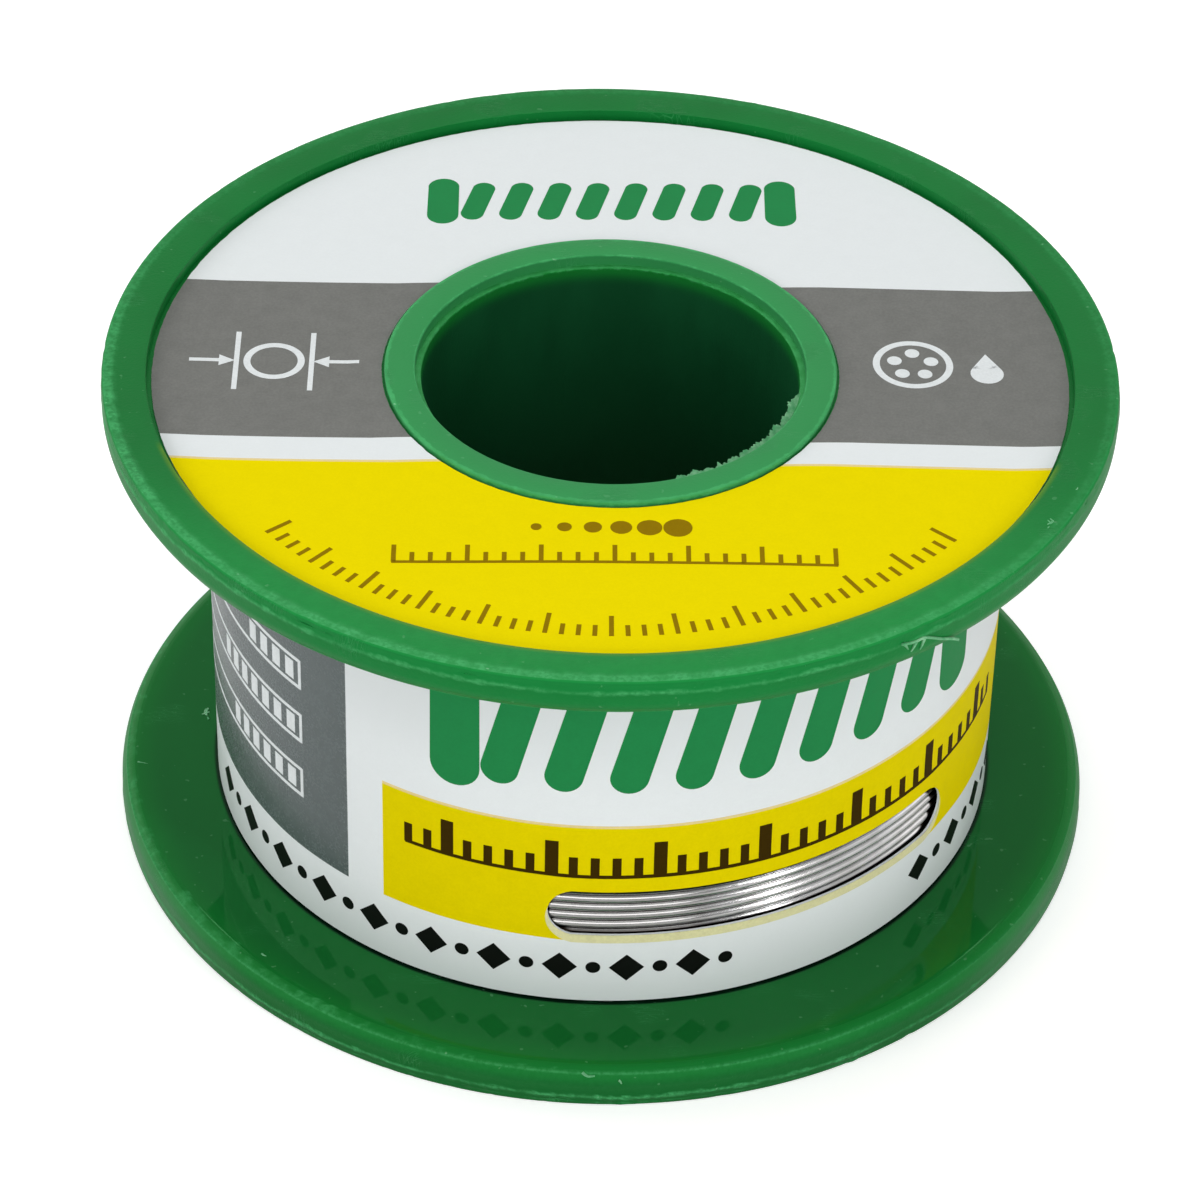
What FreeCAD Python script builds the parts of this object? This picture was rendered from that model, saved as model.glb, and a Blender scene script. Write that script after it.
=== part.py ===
"""Solder wire spool: two moulded flanges on a core tube, the wound wire, and its paper labels.

The frame is the spool's own: +Z is the spool's axis, and the origin is the middle of the
lower rim, where the spool stands. All lengths are in millimetres.
"""
import FreeCAD, Part
import math
import os

os.makedirs("parts", exist_ok=True)

# Sizes of the core tube and of the sockets that hold its ends
core_bore_radius = 10.8
core_wall = 1.7
core_end_rounding = 0.1
core_ledge = 0.35
socket_depth = 1.5
socket_clearance = 0.05

# Sizes of the flanges, which are one moulding used twice
flange_radius = 29.0
flange_thickness = 2.5
rim_width = 2.6
rim_rounding = 0.45
inner_edge_rounding = 1.1
label_recess = 0.75
recess_rounding = 0.15
boss_wall = 0.4
boss_height = 0.4
boss_rounding = 0.12

# Sizes of the wire and its winding
winding_width = 25.7
wire_diameter = 0.6
layer_count = 20
groove_share = 0.35

# Sizes of the paper labels
paper_thickness = 0.15
ring_label_clearance = 0.3
ring_label_hole_clearance = 0.15
wrap_clearance = 0.05
wrap_edge_clearance = 0.15
wrap_overlap = 9.0
wrap_seam_azimuth = 160.0
window_length = 25.7
window_height = 3.2
window_lift = 6.65
window_azimuth = 25.0

# Places that follow from the sizes
spool_height = winding_width + 2 * flange_thickness
lower_seat = flange_thickness
upper_seat = flange_thickness + winding_width
core_radius = core_bore_radius + core_wall
socket_radius = core_radius + socket_clearance
recess_radius = flange_radius - rim_width
web_thickness = flange_thickness - label_recess
boss_radius = core_radius + boss_wall
flange_bore_radius = core_bore_radius + core_ledge
turn_count = int(winding_width / wire_diameter)
layer_pitch = wire_diameter * math.sin(math.radians(60.0))
winding_radius = core_radius + wire_diameter + (layer_count - 1) * layer_pitch
wrap_radius = winding_radius + wrap_clearance

ORIGIN = FreeCAD.Vector(0, 0, 0)
AXIS = FreeCAD.Vector(0, 0, 1)


def rounded_corner(before, corner, after, radius):
    """Return the start, middle and end of the arc that rounds one corner of an outline."""
    to_before = (before - corner).normalize()
    to_after = (after - corner).normalize()
    half_angle = to_before.getAngle(to_after) / 2
    to_middle = (to_before + to_after).normalize()
    start = corner + to_before * (radius / math.tan(half_angle))
    end = corner + to_after * (radius / math.tan(half_angle))
    middle = corner + to_middle * (radius / math.sin(half_angle) - radius)
    return start, middle, end


def turned(corners):
    """Spin an outline round the axis. Each corner is (radius, height, rounding)."""
    points = [FreeCAD.Vector(radius, 0, height) for radius, height, _ in corners]
    edges = []
    ends = []
    for index, (_, _, rounding) in enumerate(corners):
        corner = points[index]
        after = points[(index + 1) % len(points)]
        if rounding:
            start, middle, end = rounded_corner(points[index - 1], corner, after, rounding)
            edges.append(Part.Arc(start, middle, end).toShape())
            ends.append((start, end))
        else:
            ends.append((corner, corner))
    for index, (_, leaving) in enumerate(ends):
        arriving = ends[(index + 1) % len(ends)][0]
        edges.append(Part.LineSegment(leaving, arriving).toShape())
    outline = Part.Wire(Part.__sortEdges__(edges))
    return solid_of_revolution(outline)


def solid_of_revolution(outline):
    """Spin a closed outline in the XZ plane into one solid."""
    shape = Part.Face(outline).revolve(ORIGIN, AXIS, 360)
    return shape if shape.ShapeType == "Solid" else Part.Solid(shape.Shells[0])


def flange():
    """One flange with its inner face at height 0 and its rim facing up.

    The tube stands in the socket from below, and the boss above it leaves a ledge of the
    tube's end in sight.
    """
    boss_top = web_thickness + boss_height
    return turned([
        (socket_radius, 0, 0),
        (flange_radius, 0, inner_edge_rounding),
        (flange_radius, flange_thickness, rim_rounding),
        (recess_radius, flange_thickness, recess_rounding),
        (recess_radius, web_thickness, 0),
        (boss_radius, web_thickness, 0),
        (boss_radius, boss_top, boss_rounding),
        (flange_bore_radius, boss_top, boss_rounding),
        (flange_bore_radius, socket_depth, 0),
        (socket_radius, socket_depth, 0),
    ])


def upper_flange():
    shape = flange()
    shape.translate(FreeCAD.Vector(0, 0, upper_seat))
    return shape


def lower_flange():
    shape = flange()
    shape.rotate(ORIGIN, FreeCAD.Vector(1, 0, 0), 180)
    shape.translate(FreeCAD.Vector(0, 0, lower_seat))
    return shape


def core_tube():
    """The barrel, which stands in the sockets of both flanges."""
    foot = lower_seat - socket_depth
    head = upper_seat + socket_depth
    return turned([
        (core_bore_radius, foot, core_end_rounding),
        (core_radius, foot, 0),
        (core_radius, head, 0),
        (core_bore_radius, head, core_end_rounding),
    ])


def solder_winding():
    """The wound wire as one turned solid, with a rounded crest for each turn of its outer layer."""
    pitch = winding_width / turn_count
    groove_radius = winding_radius - groove_share * wire_diameter
    edges = []
    for turn in range(turn_count):
        low = lower_seat + turn * pitch
        start = FreeCAD.Vector(groove_radius, 0, low)
        crest = FreeCAD.Vector(winding_radius, 0, low + pitch / 2)
        end = FreeCAD.Vector(groove_radius, 0, low + pitch)
        edges.append(Part.Arc(start, crest, end).toShape())
    corners = [
        FreeCAD.Vector(groove_radius, 0, upper_seat),
        FreeCAD.Vector(core_radius, 0, upper_seat),
        FreeCAD.Vector(core_radius, 0, lower_seat),
        FreeCAD.Vector(groove_radius, 0, lower_seat),
    ]
    for start, end in zip(corners, corners[1:]):
        edges.append(Part.LineSegment(start, end).toShape())
    return solid_of_revolution(Part.Wire(Part.__sortEdges__(edges)))


def ring_label(low):
    """A printed paper ring that lies in a flange's recess, from the given height up."""
    outer = recess_radius - ring_label_clearance
    inner = boss_radius + ring_label_hole_clearance
    disc = Part.makeCylinder(outer, paper_thickness, FreeCAD.Vector(0, 0, low))
    hole = Part.makeCylinder(inner, paper_thickness, FreeCAD.Vector(0, 0, low))
    return disc.cut(hole)


def paper_arc(inner_radius, low, height, thickness, first_azimuth, sweep):
    """A curved strip round the axis. Azimuth is counted from the front, towards +X."""
    outer_radius = inner_radius + thickness
    corners = [
        FreeCAD.Vector(inner_radius, 0, low),
        FreeCAD.Vector(outer_radius, 0, low),
        FreeCAD.Vector(outer_radius, 0, low + height),
        FreeCAD.Vector(inner_radius, 0, low + height),
    ]
    strip = Part.Face(Part.makePolygon(corners + corners[:1]))
    shape = strip.revolve(ORIGIN, AXIS, sweep)
    shape.rotate(ORIGIN, AXIS, first_azimuth - 90)
    return shape


def window_cutter():
    """The die that cuts the window: a strip with round ends, bent round the winding."""
    end_radius = window_height / 2
    middle_height = lower_seat + window_lift
    low = middle_height - end_radius
    cut_depth = 6 * paper_thickness
    cut_radius = wrap_radius - 2 * paper_thickness
    half_sweep = math.degrees((window_length / 2 - end_radius) / wrap_radius)
    first = window_azimuth - half_sweep
    cutter = paper_arc(cut_radius, low, window_height, cut_depth, first, 2 * half_sweep)
    for azimuth in (first, window_azimuth + half_sweep):
        outward = FreeCAD.Vector(math.sin(math.radians(azimuth)), -math.cos(math.radians(azimuth)), 0)
        start = outward * cut_radius + AXIS * middle_height
        cutter = cutter.fuse(Part.makeCylinder(end_radius, cut_depth, start, outward))
    return cutter


def wrap_label():
    """The strip round the winding, glued over its own end at the back, with its window."""
    low = lower_seat + wrap_edge_clearance
    height = winding_width - 2 * wrap_edge_clearance
    sleeve = Part.makeCylinder(wrap_radius + paper_thickness, height, FreeCAD.Vector(0, 0, low))
    sleeve = sleeve.cut(Part.makeCylinder(wrap_radius, height, FreeCAD.Vector(0, 0, low)))
    overlap_sweep = math.degrees(wrap_overlap / wrap_radius)
    overlap = paper_arc(wrap_radius, low, height, 2 * paper_thickness, wrap_seam_azimuth, overlap_sweep)
    return sleeve.fuse(overlap).cut(window_cutter()).removeSplitter()


def solid_from(shape):
    """Return the one solid that a shape holds."""
    if len(shape.Solids) != 1:
        raise ValueError(f"expected one solid, found {len(shape.Solids)}")
    return shape.Solids[0]


parts = {
    "core_tube": core_tube(),
    "lower_flange": lower_flange(),
    "upper_flange": upper_flange(),
    "solder_winding": solder_winding(),
    "wrap_label": wrap_label(),
    "lower_flange_label": ring_label(label_recess - paper_thickness),
    "upper_flange_label": ring_label(spool_height - label_recess),
}

for name, shape in parts.items():
    solid = solid_from(shape)
    if not solid.isValid() or solid.Volume <= 0:
        raise ValueError(f"{name} is not a valid solid")
    solid.exportStep(f"parts/{name}.step")
    box = solid.optimalBoundingBox()
    print(f"{name}: volume {solid.Volume:.1f} mm3, height {box.ZMin:.2f} to {box.ZMax:.2f}, "
          f"width {box.XLength:.2f}")
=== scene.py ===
import math

import bmesh
import bpy
from mathutils import Matrix, Vector, noise


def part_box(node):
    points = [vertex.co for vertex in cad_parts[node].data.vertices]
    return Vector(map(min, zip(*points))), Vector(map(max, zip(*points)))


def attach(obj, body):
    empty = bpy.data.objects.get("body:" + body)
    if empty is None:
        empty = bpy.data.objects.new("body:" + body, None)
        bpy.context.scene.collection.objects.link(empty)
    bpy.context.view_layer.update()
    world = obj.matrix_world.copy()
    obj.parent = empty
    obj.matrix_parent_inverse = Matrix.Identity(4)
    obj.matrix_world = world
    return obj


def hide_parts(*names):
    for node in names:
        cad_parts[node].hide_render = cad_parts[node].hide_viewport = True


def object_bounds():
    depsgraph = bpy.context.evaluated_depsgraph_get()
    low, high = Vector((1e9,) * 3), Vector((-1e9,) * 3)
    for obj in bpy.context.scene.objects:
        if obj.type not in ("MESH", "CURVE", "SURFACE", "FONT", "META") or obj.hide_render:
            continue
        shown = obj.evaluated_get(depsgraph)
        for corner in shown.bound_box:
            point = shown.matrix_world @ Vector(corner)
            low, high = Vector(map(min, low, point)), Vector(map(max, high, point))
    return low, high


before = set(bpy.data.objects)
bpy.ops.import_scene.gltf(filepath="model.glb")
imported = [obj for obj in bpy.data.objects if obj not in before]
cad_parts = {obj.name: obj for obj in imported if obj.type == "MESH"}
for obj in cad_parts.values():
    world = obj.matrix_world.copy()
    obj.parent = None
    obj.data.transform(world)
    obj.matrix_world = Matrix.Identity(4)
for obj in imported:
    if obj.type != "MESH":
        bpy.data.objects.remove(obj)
cad_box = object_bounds()
mm = 0.001

# The two flanges are one moulding in green polystyrene, used twice, the lower one turned over.
# A raised rim stands round a shallow recess for the label, a low boss stands round the hole,
# and a socket inside takes the end of the core tube.
flange_low, flange_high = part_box("upper_flange")
core_low, core_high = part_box("core_tube")
flange_radius = flange_high.x
flange_thickness = flange_high.z - flange_low.z
rim_width = 2.6 * mm
label_recess = 0.75 * mm
core_radius = core_high.x
boss_radius = core_radius + 0.4 * mm
boss_height = 0.4 * mm
hole_radius = 11.15 * mm
socket_radius = core_radius + 0.05 * mm
socket_depth = core_high.z - flange_low.z
recess_radius = flange_radius - rim_width
web_thickness = flange_thickness - label_recess
rim_rounding = 0.13 * mm
bead_radii = [flange_radius - inward * mm for inward in (0.6, 0.8, 1.0)]
bead_height = 0.03 * mm
standing_edge = flange_thickness - 0.3 * mm
inner_edge_rounding = 1.1 * mm
recess_rounding = 0.12 * mm
boss_rounding = 0.1 * mm
parting_height = flange_thickness - 0.72 * mm
parting_width = 0.15 * mm
line_edge = 0.08 * mm
parting_ridge = 0.035 * mm
wall_draft = 0.05 * mm
dent_depth = 0.1 * mm
wall_radius = flange_radius - parting_ridge - 0.01 * mm
witness_steps = 16
witness_ridge = 0.03 * mm
touching = 0.02 * mm
cut_exact = 0.0001 * mm


def edit_new_piece(name):
    """Name the primitive that was just added and open it for editing with nothing selected."""
    piece = bpy.context.active_object
    piece.name = name
    piece.data.name = name
    bpy.ops.object.mode_set(mode="EDIT")
    bpy.ops.mesh.select_all(action="DESELECT")
    return piece


def add_drum(name, corners, radius, low, high):
    """An upright cylinder between two heights, open for editing."""
    bpy.ops.mesh.primitive_cylinder_add(vertices=corners, radius=radius, depth=high - low,
                                        location=(0, 0, (high + low) / 2))
    bpy.ops.object.transform_apply(location=True)
    return edit_new_piece(name)


def pick_faces(piece, wanted):
    """Select the faces whose middle and direction are wanted."""
    bpy.ops.mesh.select_all(action="DESELECT")
    bpy.ops.mesh.select_mode(type="FACE")
    shape = bmesh.from_edit_mesh(piece.data)
    for face in shape.faces:
        if wanted(face.calc_center_median(), face.normal):
            face.select_set(True)
    bmesh.update_edit_mesh(piece.data)


def pick_rings(piece, rings):
    """Select the round edges that lie at any of the given (radius, height) places."""
    bpy.ops.mesh.select_all(action="DESELECT")
    bpy.ops.mesh.select_mode(type="EDGE")
    shape = bmesh.from_edit_mesh(piece.data)
    for edge in shape.edges:
        for radius, height in rings:
            if all(abs(v.co.z - height) < touching and abs(v.co.xy.length - radius) < touching
                   for v in edge.verts):
                edge.select_set(True)
    bmesh.update_edit_mesh(piece.data)


def cut_round(piece, heights, radius):
    """Cut rings into an upright wall of the given radius, at the given heights."""
    for height in heights:
        pick_faces(piece, lambda middle, out: abs(out.z) < 0.1
                   and abs(middle.xy.length - radius) < touching)
        bpy.ops.mesh.bisect(plane_co=(0, 0, height), plane_no=(0, 0, 1), threshold=cut_exact)


def open_hole(piece, radius, low, high):
    """Open the discs at the two ends of a hole and join their edges into its wall."""
    pick_faces(piece, lambda middle, out: middle.xy.length < touching and abs(out.z) > 0.9)
    bpy.ops.mesh.delete(type="ONLY_FACE")
    pick_rings(piece, [(radius, low), (radius, high)])
    bpy.ops.mesh.bridge_edge_loops()


def pick_only(piece):
    """Make a piece the active one and the only one selected."""
    bpy.ops.object.select_all(action="DESELECT")
    piece.select_set(True)
    bpy.context.view_layer.objects.active = piece


def apply_modifier(piece, kind, **settings):
    """Shape the active piece with a modifier and its settings, and make that its mesh."""
    modifier = piece.modifiers.new(kind.title(), kind)
    for setting, value in settings.items():
        setattr(modifier, setting, value)
    bpy.ops.object.modifier_apply(modifier=modifier.name)


def finish_piece(piece, smooth_angle=40):
    """Leave edit mode, shade smooth up to an angle and keep the flats flat."""
    bpy.ops.object.mode_set(mode="OBJECT")
    pick_only(piece)
    bpy.ops.object.transform_apply(location=True, rotation=True, scale=True)
    bpy.ops.object.shade_smooth_by_angle(angle=math.radians(smooth_angle))
    apply_modifier(piece, "WEIGHTED_NORMAL", keep_sharp=True)


def turn_over(piece, height):
    """Turn a piece over about the X axis and set its zero plane at a height."""
    piece.data.transform(Matrix.Rotation(math.pi, 4, "X"))
    piece.data.transform(Matrix.Translation((0, 0, height)))


def mould_flange(name):
    """One flange with its inner face at height 0 and its rim facing up."""
    piece = add_drum(name, 720, wall_radius, 0, flange_thickness)
    pick_faces(piece, lambda middle, out: out.z > 0.9)
    for outer, inner in zip((wall_radius, *bead_radii), (*bead_radii, recess_radius)):
        bpy.ops.mesh.inset(thickness=outer - inner)
    bpy.ops.mesh.extrude_region_move(TRANSFORM_OT_translate={"value": (0, 0, -label_recess)})
    bpy.ops.mesh.inset(thickness=recess_radius - boss_radius)
    bpy.ops.mesh.extrude_region_move(TRANSFORM_OT_translate={"value": (0, 0, boss_height)})
    bpy.ops.mesh.inset(thickness=boss_radius - hole_radius)
    pick_faces(piece, lambda middle, out: out.z < -0.9)
    bpy.ops.mesh.inset(thickness=wall_radius - socket_radius)
    bpy.ops.mesh.extrude_region_move(TRANSFORM_OT_translate={"value": (0, 0, socket_depth)})
    bpy.ops.mesh.inset(thickness=socket_radius - hole_radius)
    boss_top = web_thickness + boss_height
    open_hole(piece, hole_radius, socket_depth, boss_top)
    reach = parting_width + line_edge
    parting_steps = (-reach, -parting_width, 0, parting_width, reach)
    cut_round(piece, [parting_height + step for step in parting_steps], wall_radius)
    cut_round(piece, [standing_edge + step for step in (-line_edge, 0, line_edge)], wall_radius)
    pick_rings(piece, [(wall_radius, 0)])
    bpy.ops.mesh.bevel(offset=inner_edge_rounding, segments=witness_steps, affect="EDGES")
    pick_rings(piece, [(wall_radius, flange_thickness)])
    bpy.ops.mesh.bevel(offset=rim_rounding, segments=5, affect="EDGES")
    pick_rings(piece, [(recess_radius, flange_thickness)])
    bpy.ops.mesh.bevel(offset=recess_rounding, segments=3, affect="EDGES")
    pick_rings(piece, [(boss_radius, boss_top), (hole_radius, boss_top)])
    bpy.ops.mesh.bevel(offset=boss_rounding, segments=3, affect="EDGES")
    bpy.ops.object.mode_set(mode="OBJECT")
    return piece


def as_share(value):
    """A value, held between 0 and 1."""
    return min(1.0, max(0.0, value))


def wear_flange(piece, seed, scraped):
    """Give a flange its ragged mould lines, its worn bead and its drafted, dented wall.

    How far each place is rubbed pale goes into an attribute, which the material reads. Beside the
    witness line the rounding is also painted paler as painted light.
    """
    rubbed = piece.data.attributes.new("rubbed_and_lit_lines", "FLOAT", "POINT")
    rounding_radius = wall_radius - inner_edge_rounding
    front = -1 if scraped < 1 else 1
    handled_side = Vector((-0.5, 0.87 * front, 0))
    toothed_side = Vector((-0.9, 0.44 * front, 0))
    for vert in piece.data.vertices:
        radius, height = vert.co.xy.length, vert.co.z
        if radius < recess_radius - touching:
            continue
        out = Vector((vert.co.x, vert.co.y, 0)).normalized()
        around = out * flange_radius / mm + Vector((0, 0, seed))
        long_waves = noise.noise(around * 0.3)
        broken = as_share(0.55 + 1.1 * long_waves + 0.9 * noise.noise(around * 1.3))
        fine = as_share(0.5 + 1.4 * noise.noise(around * 1.9))
        handled_and_front_lit = min(1.0, 0.3 + 1.1 * max(0.0, out.dot(handled_side)))
        wander = (0.14 * long_waves + 0.06 * noise.noise(around * 1.5)) * mm
        pale = 0.0
        if height > flange_thickness - touching:
            if radius < bead_radii[1] + touching:
                vert.co.z -= bead_height
                pale = 0.3 * fine * handled_and_front_lit if radius > bead_radii[1] - touching else 0.0
            else:
                vert.co.z -= 0.6 * bead_height * (1 - fine)
                pale = (0.55 + 0.4 * fine) * handled_and_front_lit
        elif radius > wall_radius - touching and abs(height - parting_height) < 2 * parting_width:
            from_line = abs(height - parting_height)
            vert.co.z += wander
            if from_line < touching:
                vert.co += out * parting_ridge * broken
                pale = (0.4 + 0.6 * broken) * handled_and_front_lit
            elif from_line < parting_width + touching:
                vert.co += out * parting_ridge * broken * 0.4
                pale = max(0.0, 1.5 * fine - 0.5) * broken * handled_and_front_lit
        elif height < inner_edge_rounding and radius > rounding_radius:
            turned = math.degrees(math.atan2(inner_edge_rounding - height, radius - rounding_radius))
            if abs(turned - 45) < 2:
                vert.co += (out - Vector((0, 0, 1))) * witness_ridge
                pale = (0.55 + 0.15 * broken) * handled_and_front_lit
            elif turned > 45:
                toothed = 1.6 * out.dot(toothed_side) - 0.8 + 1.3 * noise.noise(around * 1.2)
                pale = 0.4 * fine if turned - 45 < 30 * toothed * scraped else 0.0
                # Near the witness line, and faintly over the rest of the rounding's wall side, the
                # paleness is painted light on the lit rounding.
                pale = max(pale, 0.2 * handled_and_front_lit if turned - 45 < 8 else 0.0)
            else:
                pale = 0.1 if 45 - turned < 8 else 0.05
        elif abs(height - standing_edge) < touching:
            vert.co.z += 2 * wander
            pale = 0.55 * scraped * broken * fine
        if radius > wall_radius - rim_rounding - touching and height > parting_height:
            above = (height - parting_height) / (flange_thickness - parting_height)
            dent = max(0.0, noise.noise(around * 1.3) - 0.25) if height > standing_edge else 0.0
            vert.co -= out * (wall_draft * above + dent_depth * dent)
        rubbed.data[vert.index].value = pale


lower_flange = mould_flange("lower_flange_moulding")
wear_flange(lower_flange, 40.0, 1.0)
finish_piece(lower_flange)
turn_over(lower_flange, flange_thickness)
upper_flange = mould_flange("upper_flange_moulding")
wear_flange(upper_flange, 0.0, 0.15)
finish_piece(upper_flange)
upper_flange.data.transform(Matrix.Translation((0, 0, flange_low.z)))


# A torn thread of flash still hangs on the upper rim, with three short teeth beside it and
# some crumbs on top, and the lower flange has a few scraped curls of plastic.
# Each path is a run of azimuths in degrees, and of radii and heights in mm. The flash hangs
# along the wall, so its paths have one radius.
flash_radius = wall_radius / mm + 0.05
flash_runs = [[(33.0, 30.02), (34.7, 29.78), (35.9, 29.92), (37.4, 29.5), (38.7, 29.12),
               (40.0, 28.85), (40.9, 28.55)],
              [(33.3, 30.0), (33.7, 29.75), (33.9, 29.5)],
              [(34.9, 29.82), (34.7, 29.5), (34.3, 29.25)],
              [(36.0, 29.85), (35.9, 29.5), (35.5, 29.15)]]
flash_paths = [[(azimuth, flash_radius, height) for azimuth, height in run] for run in flash_runs]
scraped_curls = [[(-1.3, 28.62, 2.22), (-1.0, 28.72, 2.12), (-0.5, 28.78, 2.05), (0.1, 28.74, 2.1)],
                 [(2.8, 28.86, 1.9), (3.0, 28.9, 1.8), (3.1, 28.92, 1.68)],
                 [(-95.0, 24.1, 2.5), (-94.2, 24.2, 2.56), (-93.3, 24.05, 2.51)],
                 [(-94.8, 24.2, 2.5), (-94.1, 24.3, 2.55), (-93.5, 24.15, 2.5)],
                 [(-94.2, 24.0, 2.5), (-93.8, 24.15, 2.58), (-93.6, 24.4, 2.51)],
                 [(-92.6, 23.9, 2.5), (-92.9, 24.0, 2.52), (-93.1, 24.0, 2.5)],
                 [(-44.2, 27.55, 2.47), (-43.8, 27.6, 2.52), (-43.5, 27.5, 2.47)],
                 [(-83.8, 28.0, 2.45), (-83.4, 27.5, 2.455), (-83.0, 27.0, 2.45)]]
rim_crumbs = [[(59.2, 28.0, 30.63), (59.6, 28.12, 30.65), (60.1, 28.05, 30.63)],
              [(59.4, 28.1, 30.63), (59.8, 28.2, 30.65), (60.2, 28.12, 30.64)],
              [(59.9, 27.85, 30.63), (59.8, 28.0, 30.65), (59.5, 28.15, 30.64)],
              [(60.3, 27.9, 30.63), (60.2, 28.05, 30.65), (60.0, 28.2, 30.64)],
              [(58.6, 28.2, 30.64), (58.8, 28.15, 30.65), (59.0, 28.2, 30.63)],
              [(66.7, 28.1, 30.63), (66.9, 28.2, 30.65), (67.2, 28.1, 30.63)]]


def torn_thread(path, thick_start, thick_end):
    """A tapering thread of plastic along a path of azimuths, radii and heights."""
    bpy.ops.object.select_all(action="DESELECT")
    bpy.ops.curve.primitive_nurbs_path_add()
    thread = bpy.context.active_object
    thread.data.splines.clear()
    spline = thread.data.splines.new("NURBS")
    spline.points.add(len(path) - 1)
    for step, (azimuth, out, height) in enumerate(path):
        share = step / (len(path) - 1)
        turned = math.radians(azimuth)
        spline.points[step].co = (out * mm * math.sin(turned), -out * mm * math.cos(turned),
                                  height * mm, 1)
        spline.points[step].radius = thick_start + (thick_end - thick_start) * share
    spline.order_u = 3
    spline.use_endpoint_u = True
    spline.resolution_u = 6
    thread.data.bevel_depth = 0.1 * mm
    thread.data.bevel_resolution = 2
    thread.data.use_fill_caps = True
    bpy.ops.object.convert(target="MESH")
    return bpy.context.active_object


def join_into(piece, additions):
    """Make loose bits part of a piece."""
    pick_only(piece)
    for addition in additions:
        addition.select_set(True)
    bpy.ops.object.join()


def torn_bits(name, paths, first_thickness, thickness):
    """Torn threads as one object. Each thickness is that of a thread's start and of its end."""
    bits = torn_thread(paths[0], *first_thickness)
    join_into(bits, [torn_thread(path, *thickness) for path in paths[1:]])
    bits.name = name
    bpy.ops.object.shade_smooth()
    return bits


flash = torn_bits("flash", flash_paths, (0.8, 0.95), (1.1, 0.35))
curls = torn_bits("scraped_curls", scraped_curls, (0.9, 0.5), (0.7, 0.35))
crumbs = torn_bits("rim_crumbs", rim_crumbs, (0.5, 0.4), (0.5, 0.4))


def feed(tree, socket, value):
    """Feed a socket from another one, or set it to a plain value."""
    if isinstance(value, bpy.types.NodeSocket):
        tree.links.new(value, socket)
    elif value is not None:
        socket.default_value = value


def calc(tree, operation, *values):
    """A math node; its result."""
    made = tree.nodes.new("ShaderNodeMath")
    made.operation = operation
    for socket, value in zip(made.inputs, values):
        feed(tree, socket, value)
    return made.outputs[0]


def times(tree, value, *others):
    """The product of some values."""
    for other in others:
        value = calc(tree, "MULTIPLY", value, other)
    return value


def ramp(tree, value, low, high, to_low=0.0, to_high=1.0):
    """A smooth step of a value from one range to another."""
    made = tree.nodes.new("ShaderNodeMapRange")
    made.interpolation_type = "SMOOTHSTEP"
    for socket, given in zip(made.inputs, (value, low, high, to_low, to_high)):
        feed(tree, socket, given)
    return made.outputs[0]


def blend_colour(tree, share, first, second):
    """The first colour, going over to the second by a share."""
    made = tree.nodes.new("ShaderNodeMix")
    made.data_type = "RGBA"
    feed(tree, made.inputs["Factor"], share)
    feed(tree, made.inputs["A"], first)
    feed(tree, made.inputs["B"], second)
    return made.outputs["Result"]


def paint_over(tree, colour, *layers):
    """A colour with others laid over it in turn, each by its share."""
    for share, over in layers:
        colour = blend_colour(tree, share, colour, over)
    return colour


def tinted(colour, share):
    """A colour made darker or lighter by a share."""
    return [share * part for part in colour[:3]] + [1]


def grain_noise(tree, size, detail=2.0, rough=0.5, stretch=(1, 1, 1)):
    """Noise with grains of the given size, fixed to the piece."""
    place = tree.nodes.new("ShaderNodeTexCoord")
    scaled = tree.nodes.new("ShaderNodeMapping")
    scaled.inputs["Scale"].default_value = stretch
    tree.links.new(place.outputs["Object"], scaled.inputs["Vector"])
    made = tree.nodes.new("ShaderNodeTexNoise")
    tree.links.new(scaled.outputs["Vector"], made.inputs["Vector"])
    made.inputs["Scale"].default_value = 1 / size
    made.inputs["Detail"].default_value = detail
    made.inputs["Roughness"].default_value = rough
    return made.outputs["Fac"]


def place_on_piece(tree, output="Object"):
    """The x, y and z of a point, fixed to the piece."""
    place = tree.nodes.new("ShaderNodeTexCoord")
    parts = tree.nodes.new("ShaderNodeSeparateXYZ")
    tree.links.new(place.outputs[output], parts.inputs[0])
    return parts.outputs


def length_of(tree, aside, above):
    """The distance of a point that lies so far aside and so far above."""
    squared = calc(tree, "MULTIPLY_ADD", aside, aside, times(tree, above, above))
    return calc(tree, "SQRT", squared)


def place_on_spool(tree):
    """The distance from the spool's axis and the height of a point."""
    x, y, height = place_on_piece(tree)
    return length_of(tree, x, y), height


def new_group(name, inputs, outputs):
    """An empty node group with named number inputs and outputs."""
    group = bpy.data.node_groups.new(name, "ShaderNodeTree")
    for socket_name, value in inputs.items():
        made = group.interface.new_socket(name=socket_name, in_out="INPUT",
                                          socket_type="NodeSocketFloat")
        made.default_value = value
    for socket_name in outputs:
        group.interface.new_socket(name=socket_name, in_out="OUTPUT", socket_type="NodeSocketFloat")
    return group, group.nodes.new("NodeGroupInput").outputs, group.nodes.new("NodeGroupOutput").inputs


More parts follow.
